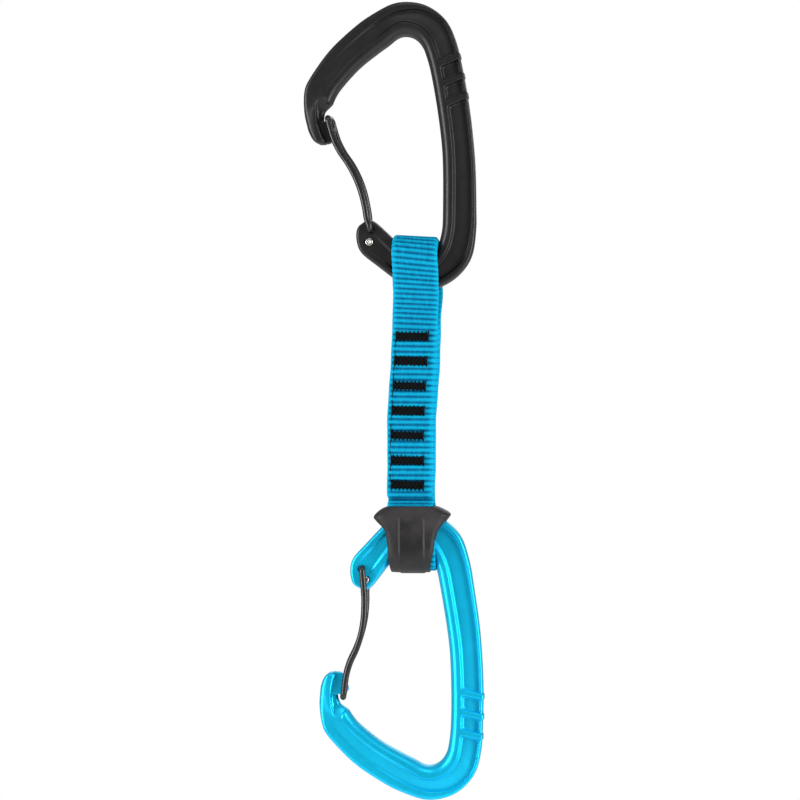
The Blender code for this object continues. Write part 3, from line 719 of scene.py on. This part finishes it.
def with_recess(height, distance, x, z):
    """Heights with the nose's recess, in which the wire loop lands, fading out up the arm."""
    outline = [tuple(row) for row in smooth_path(NOSE_RECESS + NOSE_RECESS[:1], 4)[:-1]]
    away = outline_distance(x, z, outline)
    rounded = np.sqrt(1.0 - np.clip(1.0 - distance / 0.8, 0.0, 1.0) ** 2)
    sunk = np.minimum(height, NOSE_WEB_HALF * rounded)
    fade = smooth((RECESS_FADE[0] - z) / (RECESS_FADE[0] - RECESS_FADE[1]))
    inside = (1.0 - smooth(away / RECESS_WALL)) * fade ** 0.7
    return height + (sunk - height) * inside


def rounded_plate(outline, half, radius, steps=5):
    """Rings of a flat plate in x and z with rounded edges."""
    path = smooth_path(list(outline) + [outline[0]], 5)[:-1]
    ahead = unit(np.roll(path, -1, axis=0) - np.roll(path, 1, axis=0))
    inward = np.column_stack((-ahead[:, 1], ahead[:, 0]))
    if np.cross(path[1] - path[0], path.mean(axis=0) - path[0]) < 0.0:
        inward = -inward
    rings = []
    angles = np.linspace(-0.5 * math.pi, 0.5 * math.pi, 2 * steps + 1)
    for angle in angles:
        ring = path + inward * radius * (1.0 - math.cos(angle))
        y = math.copysign(half - radius, angle) + radius * math.sin(angle) if angle else 0.0
        rings.append(np.column_stack((ring[:, 0], np.full(len(ring), y), ring[:, 1])))
    return np.array(rings)


def hole_place(pin):
    """Centre and radius of the ear hole that lets a pin swing with the gate."""
    low, high = (math.radians(value) for value in gate_joint("upper_gate_hinge")["range_deg"])
    start = np.array(pin) - np.array(GATE_AXIS)
    turn = high - low
    c, s = math.cos(turn), math.sin(turn)
    end = np.array((start[0] * c + start[1] * s, -start[0] * s + start[1] * c))
    centre = np.array(GATE_AXIS) + 0.5 * (start + end)
    return centre, PIN_RADIUS + 0.5 * float(np.linalg.norm(end - start)) + HOLE_CLEARANCE


def gate_joint(name):
    return next(joint for joint in frame["joints"] if joint["name"] == name)


def carabiner_placing(joint_name, upper):
    """World matrix of a carabiner's own frame, worked out from its gate's hinge."""
    if upper:
        turn = Matrix.Rotation(-UPPER_TILT, 4, "Y")
    else:
        turn = Matrix.Rotation(-LOWER_TILT, 4, "Y") @ Matrix.Rotation(math.pi, 4, "X")
    hinge = Vector(gate_joint(joint_name)["pos_m"])
    own = turn @ Vector((GATE_AXIS[0] * MM, 0.0, GATE_AXIS[1] * MM))
    return Matrix.Translation(hinge - own) @ turn


def ear_hole_tool(pin, placing):
    """Cutter for an ear hole with softly rounded mouths."""
    (x, z), radius = hole_place(pin)
    lip = 0.35
    profile = [(0.0, radius)]
    for angle in np.radians((0.0, 20.0, 40.0, 60.0, 75.0, 88.0)):
        profile.append((EAR_HALF - lip + lip * math.sin(angle), radius + lip * (1.0 - math.cos(angle))))
    profile.append((EAR_HALF + 1.5, radius + lip + 0.1))
    whole = [(-y, r) for y, r in reversed(profile[1:])] + profile
    path = np.array([(x, y, z) for y, _ in whole])
    return solid("ear_hole_tool", tube_rings(path, [r for _, r in whole], 40), placing=placing)


def build_forging(body, placing, material):
    """One carabiner body with its nose lip and ear holes."""
    item = solid(f"{body}_forging", forging_rings(), [material], placing)
    lip = solid("lip_tool", rounded_plate(NOSE_LIP, LIP_HALF, LIP_ROUND), [material], placing)
    holes = [(ear_hole_tool(pin, placing), "DIFFERENCE") for pin in (FRONT_PIN, REAR_PIN)]
    carve(item, [(lip, "UNION")] + holes, 82.0)
    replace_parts(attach(item, body), f"{body}_body")


# ---- Wire gates ----

def leg_points(side, pin):
    """Centreline of one leg from its pin's end to the start of the crossbar."""
    x, z = pin
    points = [(x, -side * y, z) for y in np.linspace(PIN_END, -(LEG_OUT - PIN_BEND), 14)]
    for angle in np.linspace(0.0, 0.5 * math.pi, 9)[1:]:
        points.append((x, side * (LEG_OUT - PIN_BEND + PIN_BEND * math.sin(angle)),
                       z + PIN_BEND * (1.0 - math.cos(angle))))
    path = smooth_path([(x, z + PIN_BEND)] + [row for row in LEG_PATH if row[1] > z + 3.0], 9)
    rise = (path[:, 1] - path[0, 1]) / (path[-1, 1] - path[0, 1])
    for (px, pz), share in zip(path[1:], rise[1:]):
        points.append((px + side * GATE_SKEW * float(smooth(1.4 * share)),
                       side * (LEG_OUT + (LOOP_OUT - LEG_OUT) * share), pz))
    start_x = points[-1][0]
    end_x = CROSSBAR[0] + 0.6 * side * GATE_SKEW
    for angle in np.linspace(0.0, 0.5 * math.pi, 9)[1:]:
        points.append((start_x + (end_x - start_x) * math.sin(angle),
                       side * (LOOP_OUT - LOOP_BEND * (1.0 - math.cos(angle))),
                       CROSSBAR[1] - LOOP_BEND * (1.0 - math.sin(angle))))
    return points


def build_gate(name, node, body, placing, materials):
    """One bent wire whose two pins end in bright dimpled heads."""
    rear = leg_points(1.0, REAR_PIN)
    path = np.array(leg_points(-1.0, FRONT_PIN) + rear[::-1])
    path = resampled(path, np.linspace(0.0, lengths(path)[-1], 420))
    pile = Pile()
    inside_ear = smooth((EAR_HALF + 0.25 - np.abs(path[:, 1])) / 0.3) * (path[:, 2] < FRONT_PIN[1] + 0.5)
    pile.add(tube_rings(path, WIRE_RADIUS - (WIRE_RADIUS - PIN_RADIUS) * inside_ear, WIRE_SIDES))
    for end, inner in ((path[0], path[1]), (path[-1], path[-2])):
        out = (end - inner) / np.linalg.norm(end - inner)
        side = np.cross(out, (1.0, 0.0, 0.0))
        rings = [circle(end + out * away, side, np.cross(out, side), radius, 32) for away, radius in PIN_HEAD]
        pile.add(np.array(rings), slot=1)
    item = pile.finish(name, materials, placing, sharp=60.0)
    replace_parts(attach(item, body), node)


# ---- Webbing ----

def lean(z):
    """World x of the front ply's centre at a height."""
    return knots(CENTRE, z)


def tack_height(index):
    return TACK_TOP_Z - index * TACK_PITCH


def tack_press(x, z):
    """How deep the bar tacks draw the webbing in, from 0 to 1."""
    press = np.zeros_like(x)
    for index in range(TACK_COUNT):
        beside = np.abs(x - TACK_OFFSET) - TACK_HALF[0]
        above = np.abs(z - tack_height(index)) - TACK_HALF[1]
        press = np.maximum(press, 1.0 - smooth((np.maximum(beside, above) + 0.4) / 1.3))
    return press


def strip(path, first_phase, outer_faces=1.0, cut_ends=(False, False)):
    """Rings of a webbing strip whose middle follows a (y, z) path, with their marks.

    outer_faces is 1 where the ply's outer side is on the path's left.
    """
    total = lengths(path)[-1]
    rows = int(round(total / RIB_PITCH * ROWS_PER_RIB)) + 1
    along = np.linspace(0.0, total, rows)
    centre = resampled(path, along)
    ahead = unit(np.gradient(centre, axis=0))
    normal = np.column_stack((-ahead[:, 1], ahead[:, 0])) * outer_faces
    face = np.linspace(-1.0, 1.0, WEB_COLUMNS)
    under = face[::-3]
    hem = np.radians((60.0, 35.0, 12.0, -12.0, -35.0, -60.0))
    flat = WEB_HALF - HEM_ROUND
    across = np.concatenate((face * flat, flat + HEM_ROUND * np.cos(hem), under * flat,
                             -flat - HEM_ROUND * np.cos(hem[::-1])))
    rise = np.concatenate((np.ones(len(face)), np.sin(hem), -np.ones(len(under)), np.sin(hem[::-1])))
    x = across[None, :] * np.ones((rows, 1))
    fall = np.sign(ahead[:, 1:2])
    fall = np.where(fall == 0.0, 1.0, fall)
    phase = first_phase + (along[:, None] + knots(RIB_SLOPES, centre[:, 1:]) * x * fall) / RIB_PITCH
    cord = np.abs(np.cos(math.pi * phase)) ** 1.3
    scallop = 0.09 * (cord - 0.6) * np.sign(x) * (np.abs(x) > flat)
    selvedge = smooth((np.abs(x) - 6.6) / 0.9)
    cord = cord + (1.0 - cord) * 0.45 * selvedge
    press = tack_press(x, centre[:, 1:]) * (np.abs(centre[:, :1]) < 3.0)
    groove = 1.0 - cord
    height = rise * (PLY_HALF - (RIB_DEPTH * groove + 0.10 * press) * (rise > 0.9))
    wander = 0.10 * np.sin(centre[:, 1:2] * 0.21 + 0.7) + 0.05 * np.sin(centre[:, 1:2] * 0.53)
    for at_end, cut in zip((along[:, None], total - along[:, None]), cut_ends):
        if cut:
            height = height * (0.55 + 0.45 * smooth(at_end / 0.7))
            x = x * (0.965 + 0.035 * smooth(at_end / 1.2))
    behind = smooth((centre[:, :1] + 1.2) / 2.4)
    shift = knots(REAR_SHIFT, centre[:, 1:]) * behind
    px = lean(centre[:, 1:2]) + shift + wander + x + scallop
    py = centre[:, :1] + normal[:, :1] * height
    pz = centre[:, 1:] + normal[:, 1:] * height
    drop, slope, corner = FOLD_DROP
    near_fold = smooth((pz + 92.0) / 14.0)
    corners = smooth((np.abs(x) - 6.4) / 1.6) ** 2 * smooth((pz + 76.0) / 6.0)
    pz = pz - (drop + slope * (x + WEB_HALF)) * near_fold - corner * corners
    marks = np.stack((x, phase, groove), axis=-1)
    return np.stack((px, py, pz), axis=-1), marks


def upper_loop_path():
    """From the front ply's lower end up, round the carabiner and down the rear ply."""
    side = [(PLY, UPPER_SPLIT_Z), (PLY, -106.0), (PLY, -102.5), (1.55, -99.8), (2.2, -97.3), (3.5, -95.1),
            (5.9, -91.4), (7.45, -87.4), (7.75, -82.5), (UPPER_TURN_HALF, -79.4)]
    turn = arc((0.0, UPPER_PIVOT_Z), UPPER_TURN_HALF, 0.0, 180.0, 12)
    points = [(-y, z) for y, z in side] + turn[::-1] + side[::-1]
    return smooth_path(points, 10)


def lower_loop_path():
    """From the rear ply down, round the lower carabiner and up to the middle ply."""
    down = [(PLY, LOWER_SPLIT_Z), (PLY, -160.2), (1.6, -161.9), (2.3, -163.4), (3.7, -164.75),
            (5.05, -166.6), (5.5, -169.2), (5.6, -173.5)]
    turn = arc((0.0, LOWER_TURN_Z), LOWER_TURN_HALF, 0.0, -180.0, 10)
    up = [(-5.6, -173.5), (-5.5, -169.2), (-5.0, -166.7), (-3.4, -165.0), (-1.5, -163.9), (-0.35, -162.7),
          (-0.02, -161.3), (0.0, -160.0), (0.0, LOWER_SPLIT_Z)]
    return smooth_path(down + turn + up, 10)


def straight(y, top, bottom):
    return np.array([(y, z) for z in np.linspace(top, bottom, 60)])


def build_webbing(material):
    """The strip in three pieces: the upper loop, the sewn middle and the lower loop."""
    upper = Pile()
    upper.add(*strip(upper_loop_path(), 0.5))
    upper.add(*strip(straight(0.0, MIDDLE_TOP_Z, UPPER_SPLIT_Z), 0.1, cut_ends=(True, False)))
    top = upper.finish("webbing_top", [material], sharp=50.0)

    sewn = Pile()
    for y, side in ((-PLY, -1.0), (0.0, 1.0), (PLY, 1.0)):
        sewn.add(*strip(straight(y, UPPER_SPLIT_Z, LOWER_SPLIT_Z), 0.5, side))
    middle = sewn.finish("webbing_sewn", [material], sharp=50.0)

    lower = Pile()
    lower.add(*strip(lower_loop_path(), 0.5))
    lower.add(*strip(straight(-PLY, LOWER_SPLIT_Z, TAIL_Z), 0.5, -1.0, (False, True)))
    bottom = lower.finish("webbing_bottom", [material], sharp=50.0)
    return top, middle, bottom


def add_stitch(pile, start, end, face, lift, radius=THREAD_RADIUS):
    """One thread on the face of the webbing, diving in at both ends."""
    share = np.linspace(0.0, 1.0, 9)
    bow = np.sin(math.pi * share) ** 0.5
    x = start[0] + (end[0] - start[0]) * share
    z = start[1] + (end[1] - start[1]) * share
    y = face * (1.5 * PLY - 0.32 + lift * bow)
    pile.add(tube_rings(np.column_stack((x, y * np.ones_like(x), z)), radius, 8))


def build_tack(index, material):
    """A bar tack: threads laid lengthwise under a zigzag, on both faces, and the running thread."""
    pile = Pile()
    z0 = tack_height(index)
    x0 = float(lean(z0)) + TACK_OFFSET
    half_x, half_z = TACK_HALF
    jitter = np.random.default_rng(40 + index)
    for face in (-1.0, 1.0):
        tilt = -0.02 if face < 0.0 else 0.02
        for row in np.linspace(-0.98, 0.98, 6):
            add_stitch(pile, (x0 - half_x + 0.25, z0 + row - tilt * half_x),
                       (x0 + half_x - 0.25, z0 + row + tilt * half_x), face, 0.36)
        turns = int(2.0 * half_x / TACK_STITCH)
        step = 2.0 * half_x / (2 * turns)
        corners = []
        for k in range(2 * turns + 1):
            up = 1.0 if k % 2 else -1.0
            x = x0 - half_x + k * step
            corners.append((x + jitter.uniform(-0.06, 0.06),
                            z0 + up * (half_z + jitter.uniform(-0.1, 0.08)) + tilt * (x - x0)))
        for start, end in zip(corners, corners[1:]):
            add_stitch(pile, start, end, face, 0.62)
        for x in (x0 - half_x, x0 + half_x):
            add_stitch(pile, (x, z0 - half_z), (x + 0.1, z0 + half_z), face, 0.6)
        if index < TACK_COUNT - 1:
            below = tack_height(index + 1) + half_z
            left = x0 - half_x - 0.15
            drop = z0 - half_z - below
            add_stitch(pile, (left, z0 - half_z + 0.3), (left - 0.25, z0 - half_z - 0.42 * drop), face,
                       0.3, RUNNING_RADIUS)
            add_stitch(pile, (left - 0.3, z0 - half_z - 0.5 * drop), (left - 0.15, below - 0.3), face,
                       0.3, RUNNING_RADIUS)
    return pile.finish(f"bar_tack_threads_{index + 1}", [material])


# ---- Rubber keeper ----

def keeper_rings():
    """Level rings of the keeper's outside, from its top edge to its round bottom."""
    turn_z = KEEPER_EDGES[-1][0] + KEEPER_DEPTH
    top = KEEPER_EDGES[0][0]
    heights = [top] * 3 + list(top + np.array((-0.05, -0.18, -0.4, -0.7)))
    heights += list(np.linspace(top - 1.0, turn_z, 56))
    scales = [0.80, 0.88, 0.93, 0.955, 0.98, 0.995, 1.0] + [1.0] * 56
    dips = [0.0] * len(heights)
    for angle in np.linspace(0.0, 0.5 * math.pi, 30)[1:-1]:
        heights.append(turn_z - KEEPER_DEPTH * math.sin(angle))
        scales.append(1.0)
        dips.append(angle)
    edges = np.array(KEEPER_EDGES[::-1])
    fine = np.linspace(edges[0, 0], edges[-1, 0], 400)
    shapes = blurred(read_rows(fine, edges[:, 0], edges[:, 1:]), 6)
    angles = np.linspace(0.0, 2.0 * math.pi, 1440)
    rings = []
    for z, scale, dip in zip(heights, scales, dips):
        left, right = (float(np.interp(z, fine, shapes[:, k])) for k in (0, 1))
        centre, half = 0.5 * (left + right), 0.5 * (right - left)
        body = float(smooth((top - 4.0 - z) / 5.0))
        fullness = 4.5 + 3.5 * body
        depth = KEEPER_DEPTH * math.cos(dip) * (0.86 + 0.14 * float(smooth((top - z) / 3.5)))
        c, s = np.cos(angles), np.sin(angles)
        x = centre + half * scale * np.sign(c) * np.abs(c) ** (2.0 / fullness)
        y = depth * scale * np.sign(s) * np.abs(s) ** (2.0 / fullness)
        ring = np.column_stack((x, y))
        x, y = resampled(ring, np.linspace(0.0, lengths(ring)[-1], KEEPER_SIDES, endpoint=False)).T
        panel = smooth((x - KEEPER_PANEL[0]) / PANEL_STEP) * smooth((KEEPER_PANEL[1] - x) / PANEL_STEP)
        panel = panel * float(smooth((top - 3.0 - z) / 2.0))
        y = y * (1.0 + 0.06 * panel * smooth((np.abs(y) / depth - 0.5) / 0.3))
        low = 0.4 * panel * math.sin(dip) ** 2
        rings.append(np.column_stack((x, y, np.full(len(x), z) - low)))
    return np.array(rings)


def keeper_channel():
    """Room for the lower loop of webbing inside the keeper."""
    half = LOWER_TURN_HALF + 0.5 * PLY + LOOP_GAP
    outline = [(1.9, -162.0), (2.5, -163.2), (5.2, -164.2), (6.2, -165.4), (half, -168.0)]
    outline += arc((0.0, LOWER_TURN_Z), half, 0.0, -180.0, 24)
    outline += [(-half, -168.0), (-6.2, -165.4), (-5.2, -164.2), (-1.6, -163.2), (-1.2, -162.0)]
    ring = np.array(outline)
    wide = WEB_HALF + KEEPER_GAP
    rings = []
    for across in (-wide, wide):
        rings.append(np.column_stack((lean(ring[:, 1]) + across, ring[:, 0], ring[:, 1])))
    return solid("keeper_channel", np.array(rings))


def build_keeper(placing, material):
    """The moulded collar, with room inside for the webbing and the carabiner's bar."""
    item = solid("keeper", keeper_rings(), [material])
    room = solid("bar_room", forging_rings(KEEPER_GAP), placing=placing)
    carve(item, [(keeper_channel(), "DIFFERENCE"), (room, "DIFFERENCE")], 40.0)
    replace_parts(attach(item, "lower_carabiner"), "rubber_keeper")


# ---- Studio ----

def area_light(name, place, target, size, power):
    light = bpy.data.lights.new(name, "AREA")
    light.shape = "RECTANGLE"
    light.size, light.size_y = size
    light.energy = power
    item = new_object(name, light)
    item.location = place
    item.rotation_euler = (Vector(target) - Vector(place)).to_track_quat("-Z", "Y").to_euler()
    item.visible_camera = False


def build_studio():
    low, high = CAD_BOX
    centre = 0.5 * (low + high)
    world = bpy.data.worlds.new("studio")
    bpy.context.scene.world = world
    sky = Nodes(world, "Background")
    # White behind the object, and a soft sky that fades downwards for its light.
    glow = sky.spread(sky.part(sky.place("Generated"), "Z"), 0.05, 0.37, -1.0)
    seen = sky.node("ShaderNodeLightPath").outputs["Is Camera Ray"]
    sky.link(sky.spread(seen, glow, 1.0), "Strength")
    sky.set("Color", (1.0, 1.0, 1.0, 1.0))

    floor = Paint("pale_floor", roughness=0.9)
    cloud = floor.noise(3.0, 2.0)
    floor.link(floor.ramp(cloud, (0.3, (0.86, 0.86, 0.86)), (0.7, (0.88, 0.88, 0.88))), "Base Color")
    floor.set("Emission Color", (1.0, 1.0, 1.0, 1.0))
    floor.set("Emission Strength", 0.22)
    bpy.ops.mesh.primitive_circle_add(vertices=96, radius=FLOOR_RADIUS, fill_type="NGON",
                                      location=(centre.x, centre.y, low.z - FLOOR_DROP))
    plane = bpy.context.object
    plane.name = "floor"
    plane.data.materials.append(floor.material)

    area_light("left_softbox", (-0.85, -0.48, -0.05), centre, (0.35, 0.8), 9.6)
    area_light("right_softbox", (0.85, -0.4, -0.1), centre, (0.35, 0.8), 9.6)
    area_light("top_front", (0.1, -0.6, 1.0), centre, (0.8, 0.5), 4.0)
    area_light("back_fill", (0.0, 1.2, 0.4), centre, (0.8, 0.8), 3.0)


def build_camera():
    """Camera at the product view: level, a little towards the spine side."""
    low, high = CAD_BOX
    camera = new_object("camera", bpy.data.cameras.new("camera"))
    target = 0.5 * (low + high) + Vector(CAMERA_SHIFT)
    back = Vector((math.sin(CAMERA_AZIMUTH), -math.cos(CAMERA_AZIMUTH), 0.0))
    camera.location = target + back * CAMERA_DISTANCE
    camera.rotation_euler = (-back).to_track_quat("-Z", "Y").to_euler()
    view_width = VIEW_SHARE * (high.z - low.z)
    camera.data.lens = camera.data.sensor_width * CAMERA_DISTANCE / view_width
    bpy.context.scene.camera = camera


def bend(item, first, second, start, end):
    """Bake a piece's placing into its mesh."""
    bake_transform(item)


def main():
    black = anodised("black_anodised", (0.0055, 0.005, 0.005), (0.0095, 0.0085, 0.0085), 0.38, 0.0, 0.42)
    blue = anodised("blue_anodised", (0.001, 0.49, 0.78), (0.001, 0.54, 0.85), 0.35, 0.6, 0.4)
    wire = wire_steel("gate_wire", (0.007, 0.0065, 0.0065), (0.014, 0.013, 0.013), 0.27, 0.0)
    bright = wire_steel("bright_pin", (0.55, 0.52, 0.47), (0.75, 0.72, 0.68), 0.22, 1.0)
    nylon = nylon_webbing("woven_nylon")
    thread = polyester_thread("black_thread")
    rubber = moulded_rubber("keeper_rubber")

    upper = carabiner_placing("upper_gate_hinge", True)
    lower = carabiner_placing("lower_gate_hinge", False)
    build_forging("upper_carabiner", upper, black)
    build_forging("lower_carabiner", lower, blue)
    build_gate("upper_wire_gate", "upper_gate_wire", "upper_gate", upper, [wire, bright])
    build_gate("lower_wire_gate", "lower_gate_wire", "lower_gate", lower, [wire, bright])

    top, middle, bottom = build_webbing(nylon)
    joins = (
        (top, "upper_loop", "sling_upper", -95.0, -106.0, ("webbing_upper_loop",)),
        (middle, "sling_upper", "sling_lower", -116.0, -155.0,
         ("webbing_stitched_upper", "webbing_stitched_lower")),
        (bottom, "sling_lower", "lower_carabiner", -159.0, -166.0, ("webbing_lower_loop",)),
    )
    for item, first, second, start, end, nodes in joins:
        bend(item, first, second, start, end)
        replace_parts(item, *nodes)
    for index in range(TACK_COUNT):
        tack = build_tack(index, thread)
        bend(tack, *joins[1][1:5])
        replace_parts(tack, f"bar_tack_{index + 1}")
    build_keeper(lower, rubber)
    build_studio()
    build_camera()
    bpy.context.scene.view_settings.view_transform = "Standard"


main()
